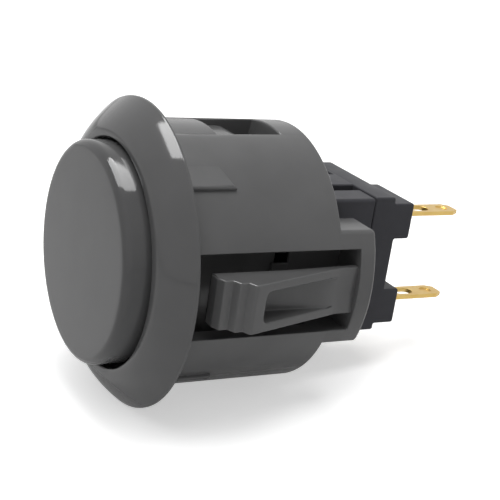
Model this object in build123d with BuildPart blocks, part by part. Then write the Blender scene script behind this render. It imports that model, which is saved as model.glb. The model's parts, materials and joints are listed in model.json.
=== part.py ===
import os
from build123d import *

# Snap-in arcade push button for a 30 mm panel hole, in millimetres.
# Its axis lies along Y: the cap faces -Y, the terminals point to +Y, and y = 0 is the panel's face.
# The snap latches stand at +X and -X, and the plunger's hooks at +Z and -Z.

# Bezel and barrel
barrel_r = 14.4
flange = 2.25
rim_edge = 0.3
bezel_height = 3.19
dome_shoulder = 2.4
lip_round = 0.25
barrel_wall = 2.15
barrel_length = 17.7
bulkhead = 1.5

# Locating pads beside the latches
pad_height = 0.5
pad_length = 6.0
pad_arc = 12.5
pad_angle = 50.75

# Windows for the plunger's hooks
window_width = 6.2
window_front = 6.9
window_room = 0.3
window_ramp = 0.35
track_width = 6.4
track_depth = 0.1

# Ears behind the barrel, each with a slot for its latch
ear_width = 12.8
ear_length = 4.3
ear_frame = 1.96
ear_wall = 1.2
ear_gap = 1.6
slot_width = 9.12
slot_front = 0.9

# Snap latches, which flex inward at their rear root
latch_width = 5.26
latch_sink = 0.9
latch_front = 2.65
latch_root_sink = 0.65
latch_root = 0.85
latch_root_run = 1.9
nose_sides = 0.8
step_count = 3
step_rise = 0.66
step_slant = 0.45
step_tread = 0.88
step_tilt = 0.19
pocket_width = 3.3
pocket_front = 1.6
pocket_round = 0.5
web_thickness = 0.55

# Plunger
stroke = 2.2
cap_height = 2.56
cap_round = 0.9
cap_thickness = 1.6
skirt_wall = 1.4
plunger_gap = 0.4
guide_gap = 0.2
guide_width = 1.6
guide_start = 1.0
flat_start = 1.0
ledge = 1.5
stem_r = 1.9
stem_rib = 1.3
stem_span = 6.6
end_gap = 0.3
touch_gap = 0.05

# Hooks on the plunger
hook_gap = 0.2
hook_sink = 1.05
hook_land = 2.5
hook_run = 2.0
tongue_slot = 0.8
tongue_root = 1.5

# Switch case
switch_width = 14.0
switch_height = 15.7
switch_round = 0.5
case_insert = 3.5
case_length = 11.5
case_wall = 1.1
case_front_wall = 1.2
seat_gap = 0.15
tooth_width = 6.0
tooth_height = 0.65

# Clip arms that hold the two switch halves together
arm_thickness = 1.0
arm_length = 5.7
arm_inset = 5.0
arm_slot = 1.6
arm_gap = 0.1
barb_width = 3.0
barb_length = 1.2
barb_height = 0.5
barb_setback = 0.4

# Switch base with two terminal blocks
plate_thickness = 2.5
plate_chamfer = 0.4
block_width = 7.3
block_height = 4.2
block_length = 2.9
block_inset = 0.6
block_chamfer = 0.35
web_length = 0.9
spigot_length = 1.0
spigot_wall = 1.2
post_length = 3.2

# Terminals
tab_width = 2.8
tab_thickness = 0.5
tab_length = 8.5
tab_inset = 3.65
tab_depth = 2.05
tab_tip = 0.9
tab_tip_width = 1.7
tab_eye = 3.4
tab_eye_width = 1.6
tab_eye_length = 2.6
tab_dimple = 6.8
tab_dimple_r = 0.7
tab_dimple_depth = 0.15
tab_gap = 0.05
shoulder_width = 3.7
shoulder_length = 0.6
foot_width = 2.0
foot_margin = 0.25

# Contacts: a bridge on the actuator closes the way between the two terminals at full press
bridge_width = 2.0
bridge_thickness = 0.3
bridge_margin = 0.15
contact_inset = 0.8
contact_r = 0.8
contact_height = 0.6
contact_chamfer = 0.2
fixed_height = 0.9
shank_r = 0.4
rivet_cap_r = 0.6
rivet_cap = 0.2
stake_r = 0.45
stake_spread = 1.8
stake_gap = 0.05

# Switch actuator and return spring
nub_r = 2.0
nub_gap = 0.25
nub_stand = 0.4
nub_chamfer = 0.3
collar_margin = 0.35
collar_gap = 0.2
collar_thickness = 1.2
core_gap = 0.42
core_run = 1.5
spring_gap = 0.27
spring_wire = 0.36
wire_sides = 6
spring_turns = 6

# Places and fits, worked out from the sizes above
rim_r = barrel_r + flange
bore_r = barrel_r - barrel_wall
window_length = hook_gap + hook_land + hook_run + stroke + window_room + window_ramp
cap_front = -bezel_height - cap_height
plunger_r = bore_r - plunger_gap
case_front = barrel_length - case_insert
case_rear = case_front + case_length
skirt_end = case_front - stroke - end_gap
ear_wall_front = skirt_end + stroke + end_gap / 2
ear_inner = switch_width / 2 + ear_gap
ear_rear = barrel_length + ear_length
slot_rear = ear_rear - ear_frame
pocket_floor = ear_inner + ear_wall
flat_x = pocket_floor - ear_wall / 2
nub_front = case_front - stroke - nub_stand
plate_rear = case_rear + plate_thickness
block_rear = plate_rear + block_length
block_edge = switch_width / 2 - block_width
block_outer = switch_height / 2 - block_inset
block_inner = block_outer - block_height
tab_end = block_rear + tab_length
tab_x = switch_width / 2 - tab_inset
tab_z = block_outer - tab_depth
arm_edge = switch_width / 2 - arm_inset
arm_floor = switch_height / 2 - arm_thickness
barb_x = (arm_edge - switch_width / 2) / 2
spigot_front = case_rear - spigot_length
cavity_front = case_front + case_front_wall
collar_front = cavity_front + touch_gap
collar_rear = collar_front + collar_thickness
bridge_rear = collar_rear + bridge_thickness
contact_z = tab_z - contact_inset
fixed_front = bridge_rear + contact_height + stroke + touch_gap
foot_front = fixed_front + fixed_height
spring_r = tab_x - bridge_width / 2 - spring_gap - spring_wire / 2
core_r = spring_r - spring_wire / 2 - core_gap


def section(y):
    # A plane across the axis, seen from the front; a negative extrusion runs rearward.
    return Plane.XZ.offset(-y)


def hook_wedge(clear):
    # A hook's side view: a square front, a land and a rounded fall to the skirt.
    crest = barrel_r - hook_sink
    front = window_front + clear
    land_end = front + hook_land
    rear = land_end + hook_run
    Polyline(
        (rear, plunger_r),
        (rear, plunger_r - skirt_wall),
        (front, plunger_r - skirt_wall),
        (front, crest),
        (land_end, crest),
    )
    Bezier((land_end, crest), (rear, crest), (rear, plunger_r))


def tab_outline(inner_end):
    # A flat tab from its inner end to a narrowed tip, with an oval eye.
    half = tab_width / 2
    tip = tab_tip_width / 2
    Polygon(
        (tab_x - half, inner_end),
        (tab_x - half, tab_end - tab_tip),
        (tab_x - tip, tab_end),
        (tab_x + tip, tab_end),
        (tab_x + half, tab_end - tab_tip),
        (tab_x + half, inner_end),
        align=None,
    )
    with Locations((tab_x, spigot_front - shoulder_length / 2)):
        Rectangle(shoulder_width, shoulder_length)
    with Locations((tab_x, block_rear + tab_eye)):
        SlotOverall(tab_eye_length, tab_eye_width, rotation=90, mode=Mode.SUBTRACT)


os.makedirs("parts", exist_ok=True)

# Housing: bezel, barrel and bulkhead turned from one section, then ears, slots and latches
with BuildPart() as housing:
    with BuildSketch(Plane.XY):
        with BuildLine():
            lip_top = (bore_r + lip_round, -bezel_height)
            lip_inside = (bore_r, lip_round - bezel_height)
            Bezier((rim_r, -rim_edge), (rim_r - dome_shoulder, -bezel_height), lip_top)
            RadiusArc(lip_top, lip_inside, lip_round)
            Polyline(
                lip_inside,
                (bore_r, barrel_length - bulkhead),
                (0, barrel_length - bulkhead),
                (0, ear_rear),
                (barrel_r, ear_rear),
                (barrel_r, 0),
                (rim_r, 0),
                (rim_r, -rim_edge),
            )
        make_face()
    revolve(axis=Axis.Y)

    # Four pads that centre the barrel in the panel hole, each thickest beside its latch
    thick_end = Vector(1, 0).rotate(Axis.Z, pad_angle - pad_arc / 2)
    thin_end = Vector(1, 0).rotate(Axis.Z, pad_angle + pad_arc / 2)
    pad_corners = [
        thick_end * (barrel_r - pad_height),
        thick_end * (barrel_r + pad_height),
        thin_end * barrel_r,
        thin_end * (barrel_r - pad_height),
    ]
    with BuildSketch(section(0)):
        for across, up in ((1, 1), (-1, 1), (-1, -1), (1, -1)):
            Polygon(*[(across * corner.X, up * corner.Y) for corner in pad_corners], align=None)
    extrude(amount=-pad_length)

    # Hook windows with a ramp at the rear, and the shallow track that leads to each
    with BuildSketch(Plane.YZ):
        with BuildLine():
            Polyline(
                (window_front, bore_r - barrel_wall),
                (window_front, barrel_r + barrel_wall),
                (window_front + window_length, barrel_r + barrel_wall),
                (window_front + window_length, barrel_r),
                (window_front + window_length - window_ramp, bore_r),
                (window_front + window_length - window_ramp, bore_r - barrel_wall),
                close=True,
            )
        make_face()
        mirror(about=Plane.XZ)
    extrude(amount=window_width / 2, both=True, mode=Mode.SUBTRACT)
    with BuildSketch(section(0)):
        Rectangle(track_width, 2 * barrel_r + 2 * pad_height)
        Circle(barrel_r - track_depth, mode=Mode.SUBTRACT)
    extrude(amount=-window_front, mode=Mode.SUBTRACT)

    # Ears: two segments of the barrel's own cylinder, left standing behind the bulkhead
    with BuildSketch(section(barrel_length)):
        Circle(2 * barrel_r)
        Rectangle(3 * barrel_r, ear_width, mode=Mode.SUBTRACT)
        Rectangle(2 * ear_inner, ear_width)
    extrude(amount=barrel_length - ear_rear, mode=Mode.SUBTRACT)

    # Slots through the barrel wall and into the ears, and the flat wall that backs each slot
    with BuildSketch(Plane.XY.offset(-slot_width / 2)):
        with Locations((0, (slot_front + slot_rear) / 2)):
            Rectangle(3 * barrel_r, slot_rear - slot_front)
            Rectangle(2 * pocket_floor, slot_rear - slot_front, mode=Mode.SUBTRACT)
    extrude(amount=slot_width, mode=Mode.SUBTRACT)
    with BuildSketch(section(ear_wall_front)):
        Rectangle(2 * pocket_floor, slot_width)
        Rectangle(2 * ear_inner, slot_width, mode=Mode.SUBTRACT)
    extrude(amount=ear_wall_front - barrel_length + bulkhead)

    # Snap latches: a stepped nose, a sloping back and a thin root, with a pocket between two ribs
    inner_x = barrel_r - latch_sink
    root_x = barrel_r - latch_root_sink
    nose_x = inner_x + 2 * nose_sides
    steps = [(nose_x, latch_front)]
    for step in range(step_count):
        x, y = steps[-1]
        steps.append((x + step_rise, y + step_slant))
        if step < step_count - 1:
            steps.append((x + step_rise + step_tilt, y + step_slant + step_tread))
    crest_x, crest_y = steps[-1]
    with BuildSketch(Plane.XY):
        with BuildLine():
            Polyline(
                (inner_x, latch_front),
                *steps,
                (root_x, slot_rear - latch_root_run),
                (root_x, slot_rear + ear_frame / 3),
                (root_x - latch_root, slot_rear + ear_frame / 3),
                (root_x - latch_root, slot_rear),
                (inner_x, (latch_front + slot_rear) / 2),
                close=True,
            )
        make_face()
        mirror(about=Plane.YZ)
    extrude(amount=latch_width / 2, both=True)
    pocket_length = slot_rear - latch_root_run - crest_y - pocket_front
    for side in (1, -1):
        with BuildSketch(Plane.YZ.offset(side * (inner_x + web_thickness))):
            with Locations((crest_y + pocket_front + pocket_length / 2, 0)):
                RectangleRounded(pocket_length, pocket_width, pocket_round)
        extrude(amount=side * (crest_x - inner_x), mode=Mode.SUBTRACT)

    # Opening for the switch, with a tooth at its top and bottom that snaps into the case
    with BuildSketch(section(barrel_length)):
        Rectangle(switch_width + 2 * seat_gap, switch_height + 2 * seat_gap)
        for side in (1, -1):
            with Locations((0, side * switch_height / 2)):
                Rectangle(tooth_width, 2 * tooth_height, mode=Mode.SUBTRACT)
    extrude(amount=bulkhead, mode=Mode.SUBTRACT)

housing.part.label = "housing"
export_step(housing.part, "parts/housing.step")

# Plunger: a round cap on a skirt with two flats, which leave the latches room to flex
with BuildPart() as plunger:
    with BuildSketch(Plane.XY):
        with BuildLine():
            Polyline(
                (plunger_r, cap_front + cap_round),
                (plunger_r, skirt_end),
                (0, skirt_end),
                (0, cap_front),
                (plunger_r - cap_round, cap_front),
            )
            RadiusArc(
                (plunger_r - cap_round, cap_front),
                (plunger_r, cap_front + cap_round),
                -cap_round,
            )
        make_face()
    revolve(axis=Axis.Y)

    # Four guide ribs that run in the bore, hidden below the bezel's lip
    rib_front = -bezel_height + guide_start
    with BuildSketch(section(rib_front)):
        with PolarLocations((plunger_r + bore_r) / 2 - guide_gap, 4, start_angle=45):
            Rectangle(bore_r - plunger_r, guide_width)
        Circle(bore_r - guide_gap, mode=Mode.INTERSECT)
    extrude(amount=rib_front - skirt_end)

    # Flats beside the latches
    with BuildSketch(section(flat_start)):
        Rectangle(3 * plunger_r, 3 * plunger_r)
        Rectangle(2 * flat_x, 3 * plunger_r, mode=Mode.SUBTRACT)
    extrude(amount=flat_start - skirt_end, mode=Mode.SUBTRACT)

    # Hollow: a round cup under the cap, then a space with flats through the skirt
    cup_front = cap_front + cap_thickness
    with BuildSketch(section(cup_front)):
        Circle(plunger_r - skirt_wall)
    extrude(amount=cup_front - (flat_start - ledge), mode=Mode.SUBTRACT)
    with BuildSketch(section(cup_front)):
        Circle(plunger_r - skirt_wall)
        Rectangle(2 * (flat_x - skirt_wall), 2 * plunger_r, mode=Mode.INTERSECT)
    extrude(amount=cup_front - skirt_end, mode=Mode.SUBTRACT)

    # Hooks that stop in the windows, each on a tongue that is slit free of the skirt
    with BuildSketch(Plane.YZ):
        with BuildLine():
            hook_wedge(hook_gap)
        make_face()
        mirror(about=Plane.XZ)
    tongue = window_width / 2 - hook_gap
    extrude(amount=tongue, both=True)
    with BuildSketch(section(tongue_root)):
        for side in (1, -1):
            with Locations((side * (tongue + tongue_slot / 2), 0)):
                Rectangle(tongue_slot, 3 * plunger_r)
    extrude(amount=tongue_root - skirt_end, mode=Mode.SUBTRACT)

    # Ribbed stem that presses the switch
    with BuildSketch(section(cup_front)):
        Circle(stem_r)
        Rectangle(stem_span, stem_rib)
        Rectangle(stem_rib, stem_span)
    extrude(amount=cup_front - nub_front + touch_gap)

plunger.part.label = "plunger"
export_step(plunger.part, "parts/plunger.step")

# Switch case: a box open at the rear, with seats for the clip arms and for the bulkhead's teeth
with BuildPart() as switch_case:
    with BuildSketch(section(case_front)):
        RectangleRounded(switch_width, switch_height, switch_round)
    extrude(amount=-case_length)
    with BuildSketch(section(cavity_front)):
        Rectangle(switch_width - 2 * case_wall, 2 * (arm_floor - arm_gap) - 2 * case_wall + 2 * arm_gap)
    extrude(amount=cavity_front - case_rear, mode=Mode.SUBTRACT)
    with BuildSketch(section(case_front)):
        Circle(nub_r + nub_gap)
    extrude(amount=-case_front_wall, mode=Mode.SUBTRACT)
    for side in (1, -1):
        with BuildSketch(section(case_rear - arm_length - arm_gap)):
            with Locations((arm_edge + arm_slot, side * (arm_floor - arm_gap))):
                align = (Align.MAX, Align.MIN if side > 0 else Align.MAX)
                Rectangle(switch_width, switch_height, align=align)
        extrude(amount=-arm_length - arm_gap, mode=Mode.SUBTRACT)
        with BuildSketch(section(case_rear - arm_length + barb_setback - arm_gap)):
            with Locations((barb_x, side * arm_floor)):
                Rectangle(barb_width + 2 * arm_gap, 2 * (barb_height + arm_gap))
        extrude(amount=-barb_length - 2 * arm_gap, mode=Mode.SUBTRACT)
        with BuildSketch(section(barrel_length - bulkhead - seat_gap)):
            with Locations((0, side * switch_height / 2)):
                Rectangle(tooth_width + 2 * seat_gap, 2 * (tooth_height + seat_gap))
        extrude(amount=-bulkhead - 2 * seat_gap, mode=Mode.SUBTRACT)

switch_case.part.label = "switch_case"
export_step(switch_case.part, "parts/switch_case.step")

# Switch base: end plate, two terminal blocks, clip arms, a locating ring and the spring's post
with BuildPart() as switch_base:
    with BuildSketch(section(case_rear)):
        RectangleRounded(switch_width, switch_height, switch_round)
    extrude(amount=-plate_thickness)
    plate_edges = switch_base.faces().sort_by(Axis.Y)[-1].edges()
    chamfer(plate_edges, plate_chamfer)

    with BuildSketch(section(plate_rear - plate_chamfer)):
        with Locations((block_edge, 0)):
            Rectangle(block_width, 2 * block_outer, align=(Align.MIN, Align.CENTER))
    extrude(amount=-plate_chamfer - web_length)
    with BuildSketch(section(plate_rear)):
        for side in (1, -1):
            with Locations((block_edge, side * (block_inner + block_outer) / 2)):
                Rectangle(block_width, block_height, align=(Align.MIN, Align.CENTER))
    extrude(amount=-block_length)
    block_edges = switch_base.faces().group_by(Axis.Y)[-1].edges()
    chamfer(block_edges, block_chamfer)

    # Locating ring inside the case, and the post that centres the spring
    ring_width = switch_width - 2 * case_wall - 2 * seat_gap
    ring_height = 2 * (arm_floor - case_wall) - 2 * seat_gap
    with BuildSketch(section(spigot_front)):
        Rectangle(ring_width, ring_height)
        Rectangle(ring_width - 2 * spigot_wall, ring_height - 2 * spigot_wall, mode=Mode.SUBTRACT)
    extrude(amount=-spigot_length)
    with BuildSketch(section(case_rear - post_length)):
        Circle(core_r)
    extrude(amount=-post_length)

    # Clip arms on the top and bottom, each with a barb at its front end
    for side in (1, -1):
        with BuildSketch(section(case_rear - arm_length)):
            with Locations((arm_edge, side * arm_floor)):
                align = (Align.MAX, Align.MIN if side > 0 else Align.MAX)
                Rectangle(switch_width / 2 + arm_edge, arm_thickness, align=align)
        extrude(amount=-arm_length - plate_thickness / 2)
        with BuildSketch(section(case_rear - arm_length + barb_setback)):
            with Locations((barb_x, side * (arm_floor + arm_thickness / 4))):
                Rectangle(barb_width, 2 * barb_height + arm_thickness / 2)
        extrude(amount=-barb_length)

    # Passages for the terminals
    with BuildSketch(section(spigot_front)):
        for side in (1, -1):
            with Locations((tab_x, side * tab_z)):
                Rectangle(tab_width + 2 * tab_gap, tab_thickness + 2 * tab_gap)
    extrude(amount=spigot_front - block_rear, mode=Mode.SUBTRACT)

switch_base.part.label = "switch_base"
export_step(switch_base.part, "parts/switch_base.step")

for place, side in (("upper", 1), ("lower", -1)):
    # Terminal: a tab with a detent dimple on each face, its inner end turned to the axis as a foot for the contact
    with BuildPart() as terminal:
        with BuildSketch(Plane.XY.offset(side * tab_z)):
            tab_outline(foot_front)
        extrude(amount=tab_thickness / 2, both=True)
        for face in (1, -1):
            with BuildSketch(Plane.XY.offset(side * tab_z + face * tab_thickness / 2)):
                with Locations((tab_x, block_rear + tab_dimple)):
                    Circle(tab_dimple_r)
            extrude(amount=-face * tab_dimple_depth, mode=Mode.SUBTRACT)
        foot_height = contact_inset + contact_r + foot_margin + tab_thickness / 2
        foot_middle = tab_z + tab_thickness / 2 - foot_height / 2
        with BuildSketch(section(foot_front)):
            with Locations((tab_x, side * foot_middle)):
                Rectangle(foot_width, foot_height)
        extrude(amount=-tab_thickness)

    terminal.part.label = place + "_terminal"
    export_step(terminal.part, "parts/" + place + "_terminal.step")

    # Fixed contact: a rivet head on the terminal's foot
    with BuildPart() as fixed_contact:
        with BuildSketch(section(fixed_front)):
            with Locations((tab_x, side * contact_z)):
                Circle(contact_r)
        extrude(amount=-fixed_height)
        chamfer(fixed_contact.edges().group_by(Axis.Y)[0], contact_chamfer)

    fixed_contact.part.label = place + "_fixed_contact"
    export_step(fixed_contact.part, "parts/" + place + "_fixed_contact.step")

    # Moving contact: a rivet with its head behind the bridge and a small cap in front
    with BuildPart() as moving_contact:
        with BuildSketch(section(bridge_rear)):
            with Locations((tab_x, side * contact_z)):
                Circle(contact_r)
        extrude(amount=-contact_height)
        chamfer(moving_contact.edges().group_by(Axis.Y)[-1], contact_chamfer)
        with BuildSketch(section(collar_rear)):
            with Locations((tab_x, side * contact_z)):
                Circle(shank_r)
        extrude(amount=-bridge_thickness)
        with BuildSketch(section(collar_rear - rivet_cap)):
            with Locations((tab_x, side * contact_z)):
                Circle(rivet_cap_r)
        extrude(amount=-rivet_cap)

    moving_contact.part.label = place + "_moving_contact"
    export_step(moving_contact.part, "parts/" + place + "_moving_contact.step")

# Contact bridge: a strip on the actuator's collar, with holes for its rivets and for the stakes
with BuildPart() as contact_bridge:
    bridge_length = 2 * (contact_z + contact_r + bridge_margin)
    with BuildSketch(section(collar_rear)):
        with Locations((tab_x, 0)):
            Rectangle(bridge_width, bridge_length)
        with Locations((tab_x, contact_z), (tab_x, -contact_z)):
            Circle(shank_r, mode=Mode.SUBTRACT)
        with Locations((tab_x, stake_spread), (tab_x, -stake_spread)):
            Circle(stake_r + stake_gap, mode=Mode.SUBTRACT)
    extrude(amount=-bridge_thickness)

contact_bridge.part.label = "contact_bridge"
export_step(contact_bridge.part, "parts/contact_bridge.step")

# Switch actuator: a round nub, a collar behind the case's front wall, stakes and the spring's core
with BuildPart() as switch_actuator:
    with BuildSketch(section(nub_front)):
        Circle(nub_r)
    extrude(amount=nub_front - collar_rear)
    chamfer(switch_actuator.edges().group_by(Axis.Y)[0], nub_chamfer)
    collar_width = 2 * (tab_x + bridge_width / 2 + collar_margin)
    collar_height = 2 * (contact_z - rivet_cap_r - collar_gap)
    with BuildSketch(section(collar_front)):
        Rectangle(collar_width, collar_height)
    extrude(amount=-collar_thickness)
    with BuildSketch(section(collar_rear)):
        Circle(core_r)
    extrude(amount=-core_run)
    with BuildSketch(section(collar_rear)):
        with Locations((tab_x, stake_spread), (tab_x, -stake_spread)):
            Circle(stake_r)
    extrude(amount=-2 * bridge_thickness)

switch_actuator.part.label = "switch_actuator"
export_step(switch_actuator.part, "parts/switch_actuator.step")

# Return spring: a coil of six-sided wire between the actuator's collar and the base's plate
with BuildPart() as return_spring:
    coil_front = collar_rear + spring_wire / 2 + touch_gap
    coil_height = case_rear - spring_wire / 2 - touch_gap - coil_front
    with BuildLine():
        coil = Helix(
            pitch=coil_height / spring_turns,
            height=coil_height,
            radius=spring_r,
            center=(0, coil_front, 0),
            direction=(0, 1, 0),
        )
    with BuildSketch(Plane(origin=coil @ 0, z_dir=coil % 0)):
        RegularPolygon(spring_wire / 2, wire_sides)
    sweep(path=coil, is_frenet=True)

return_spring.part.label = "return_spring"
export_step(return_spring.part, "parts/return_spring.step")
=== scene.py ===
import json
import math

import bmesh
import bpy
import numpy as np
from mathutils import Matrix, Vector


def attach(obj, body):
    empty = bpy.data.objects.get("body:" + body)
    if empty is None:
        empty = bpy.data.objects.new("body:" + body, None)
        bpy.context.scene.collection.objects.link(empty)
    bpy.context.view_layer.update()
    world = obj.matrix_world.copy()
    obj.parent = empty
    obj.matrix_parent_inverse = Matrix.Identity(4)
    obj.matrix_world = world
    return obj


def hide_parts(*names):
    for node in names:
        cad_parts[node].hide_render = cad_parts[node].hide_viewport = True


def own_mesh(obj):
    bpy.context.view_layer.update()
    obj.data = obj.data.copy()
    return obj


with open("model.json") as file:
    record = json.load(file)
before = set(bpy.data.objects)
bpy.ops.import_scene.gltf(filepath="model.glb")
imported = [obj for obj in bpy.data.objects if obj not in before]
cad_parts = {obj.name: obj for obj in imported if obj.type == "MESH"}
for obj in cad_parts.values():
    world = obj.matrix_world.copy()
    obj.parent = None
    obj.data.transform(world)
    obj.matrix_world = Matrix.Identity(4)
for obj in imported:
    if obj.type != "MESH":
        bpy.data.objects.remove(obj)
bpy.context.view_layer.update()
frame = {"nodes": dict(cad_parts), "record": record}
print("frame loaded with", len(frame["nodes"]), "solids")


# Small helpers for node trees

def newMaterial(name):
    material = bpy.data.materials.new(name)
    material.use_nodes = True
    tree = material.node_tree
    return material, tree, tree.nodes["Principled BSDF"]


def addNode(tree, kind, **settings):
    node = tree.nodes.new(kind)
    for key, value in settings.items():
        setattr(node, key, value)
    return node


def noiseOn(tree, coords, scale, detail=2.0, roughness=0.5):
    noise = addNode(tree, "ShaderNodeTexNoise")
    noise.inputs["Scale"].default_value = scale
    noise.inputs["Detail"].default_value = detail
    noise.inputs["Roughness"].default_value = roughness
    tree.links.new(coords, noise.inputs["Vector"])
    return noise.outputs["Fac"]


noiseSpan = (0.3, 0.7)          # most of a noise lies between these values


def spread(tree, source, low, high):
    # The noise's span is stretched over low to high
    ranged = addNode(tree, "ShaderNodeMapRange")
    ranged.inputs["From Min"].default_value, ranged.inputs["From Max"].default_value = noiseSpan
    ranged.inputs["To Min"].default_value = low
    ranged.inputs["To Max"].default_value = high
    tree.links.new(source, ranged.inputs["Value"])
    return ranged.outputs["Result"]


def twoTone(tree, source, dark, light):
    # The noise's span runs from the dark colour to the light one
    ramp = addNode(tree, "ShaderNodeValToRGB")
    for stop, place, colour in zip(ramp.color_ramp.elements, noiseSpan, (dark, light)):
        stop.position = place
        stop.color = (*colour, 1)
    tree.links.new(source, ramp.inputs["Fac"])
    return ramp.outputs["Color"]


def bumpFrom(tree, height, strength, distance):
    bump = addNode(tree, "ShaderNodeBump")
    bump.inputs["Strength"].default_value = strength
    bump.inputs["Distance"].default_value = distance
    tree.links.new(height, bump.inputs["Height"])
    return bump.outputs["Normal"]


# Finishes: lengths are in metres, colours are linear

greyMoulding = {
    "dark": (0.083, 0.083, 0.084),
    "light": (0.093, 0.093, 0.094),
    "cloud": 0.006,             # size of the drift in the colour
    "gloss": (0.20, 0.26),      # roughness, least and most
    "sheen": 0.25,              # share of mirrored light, where 0.5 is bare polished plastic
    "glossPatch": 0.003,
    "grain": 0.00016,           # size of the mould's grain
    "grainDepth": 0.000001,
    "grainStrength": 0.6,
}

bezelMoulding = dict(
    greyMoulding,
    dark=(0.073, 0.073, 0.074),
    light=(0.081, 0.081, 0.082),
    gloss=(0.07, 0.12),
    sheen=0.31,
    grainDepth=0.0000003,
)

capMoulding = dict(bezelMoulding, dark=(0.062, 0.062, 0.063), light=(0.068, 0.068, 0.069), sheen=0.22)

blackMoulding = dict(
    greyMoulding,
    dark=(0.043, 0.043, 0.048),
    light=(0.049, 0.049, 0.055),
    gloss=(0.34, 0.46),
    sheen=0.07,
    cloud=0.003,
    grainDepth=0.000003,
)

innerMoulding = dict(blackMoulding, dark=(0.022, 0.022, 0.023), light=(0.028, 0.028, 0.030))


def mouldedPlastic(name, look):
    # Colour drifts slowly, gloss in smaller patches, and a fine grain lifts the surface by microns
    material, tree, shader = newMaterial(name)
    coords = addNode(tree, "ShaderNodeTexCoord").outputs["Object"]
    cloud = noiseOn(tree, coords, 1 / look["cloud"], detail=3.0)
    patch = noiseOn(tree, coords, 1 / look["glossPatch"], detail=4.0, roughness=0.6)
    grain = noiseOn(tree, coords, 1 / look["grain"])
    tree.links.new(twoTone(tree, cloud, look["dark"], look["light"]), shader.inputs["Base Color"])
    tree.links.new(spread(tree, patch, *look["gloss"]), shader.inputs["Roughness"])
    tree.links.new(bumpFrom(tree, grain, look["grainStrength"], look["grainDepth"]), shader.inputs["Normal"])
    shader.inputs["Specular IOR Level"].default_value = look["sheen"]
    return material


goldPlate = {
    "dark": (0.61, 0.41, 0.13),
    "light": (0.66, 0.47, 0.165),
    "streak": (0.00009, 0.003, 0.00009),   # width, length along Y, depth of a rolling streak
    "gloss": (0.29, 0.42),
    "depth": 0.0000012,
    "streakStrength": 0.5,
    "cloudsPerMetre": 700.0,    # drift in the colour
}

bronzeStrip = dict(goldPlate, dark=(0.55, 0.30, 0.11), light=(0.66, 0.40, 0.17))
springWire = dict(goldPlate, dark=(0.42, 0.42, 0.43), light=(0.56, 0.56, 0.57),
                  streak=(0.0002, 0.0002, 0.0002))
silverRivet = dict(goldPlate, dark=(0.68, 0.68, 0.66), light=(0.80, 0.80, 0.78),
                   streak=(0.0003, 0.0003, 0.0003))


def rolledMetal(name, look):
    # Fine streaks along the strip, from rolling, vary the tone and the gloss
    material, tree, shader = newMaterial(name)
    coords = addNode(tree, "ShaderNodeTexCoord").outputs["Object"]
    mapping = addNode(tree, "ShaderNodeMapping")
    mapping.inputs["Scale"].default_value = [1 / size for size in look["streak"]]
    tree.links.new(coords, mapping.inputs["Vector"])
    streak = noiseOn(tree, mapping.outputs["Vector"], 1.0, detail=3.0, roughness=0.6)
    cloud = noiseOn(tree, coords, look["cloudsPerMetre"])
    tree.links.new(twoTone(tree, cloud, look["dark"], look["light"]), shader.inputs["Base Color"])
    tree.links.new(spread(tree, streak, *look["gloss"]), shader.inputs["Roughness"])
    tree.links.new(bumpFrom(tree, streak, look["streakStrength"], look["depth"]), shader.inputs["Normal"])
    shader.inputs["Metallic"].default_value = 1.0
    return material


finishes = {
    "housing_plastic": mouldedPlastic("greyHousing", greyMoulding),
    "plunger_plastic": mouldedPlastic("greyCap", capMoulding),
    "switch_plastic": mouldedPlastic("blackSwitch", blackMoulding),
    "actuator_plastic": mouldedPlastic("blackActuator", innerMoulding),
    "terminal_gold": rolledMetal("goldTerminal", goldPlate),
    "bridge_bronze": rolledMetal("bronzeBridge", bronzeStrip),
    "spring_steel": rolledMetal("steelSpring", springWire),
    "contact_silver": rolledMetal("silverContact", silverRivet),
}
print("finishes made:", len(finishes))

slotOf = {row["node"]: row["material_slot"] for row in frame["record"]["subparts"]}
for nodeName, node in frame["nodes"].items():
    node.data.materials.clear()
    node.data.materials.append(finishes[slotOf[nodeName]])


# Surfaces: grids of points worked out as whole arrays, in millimetres

mm = 0.001
sharpAngle = math.radians(24)   # edges that turn by more are sharp and get a round
mergeReach = 1e-8               # corners nearer than this, in metres, are one
nearZero = 1e-6                 # keeps divisors above zero


def gridQuads(rows, columns, wrapRows=False, wrapColumns=False):
    # The four corner numbers of each cell of a grid; a wrapped direction joins its end to its start
    index = np.arange(rows * columns).reshape(rows, columns)
    if wrapRows:
        index = np.vstack([index, index[:1]])
    if wrapColumns:
        index = np.hstack([index, index[:, :1]])
    return np.stack([index[:-1, :-1], index[1:, :-1], index[1:, 1:], index[:-1, 1:]], axis=-1)


def shellBetween(outer, inner, keep, wrapRows=False):
    # Two matching grids become one closed wall: the kept cells of both,
    # and a side wall at each border of the kept part
    rows, columns = outer.shape[:2]
    far = rows * columns
    index = np.arange(far).reshape(rows, columns)
    cells = gridQuads(rows, columns, wrapRows)[keep]
    if wrapRows:
        rowBorder = keep != np.roll(keep, 1, axis=0)
    else:
        padded = np.pad(keep, ((1, 1), (0, 0)))
        rowBorder = padded[1:] != padded[:-1]
    rowEdges = np.stack([index[:, :-1], index[:, 1:]], axis=-1)[rowBorder]
    padded = np.pad(keep, ((0, 0), (1, 1)))
    following = np.roll(index, -1, axis=0) if wrapRows else index[1:]
    columnEdges = np.stack([index[:len(following)], following], axis=-1)
    columnEdges = columnEdges[: len(keep)][padded[:, 1:] != padded[:, :-1]]
    edges = np.vstack([rowEdges, columnEdges])
    walls = np.stack([edges[:, 0], edges[:, 1], edges[:, 1] + far, edges[:, 0] + far], axis=-1)
    points = np.vstack([outer.reshape(-1, 3), inner.reshape(-1, 3)])
    return points, np.vstack([cells, cells[:, ::-1] + far, walls]).tolist()


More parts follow.
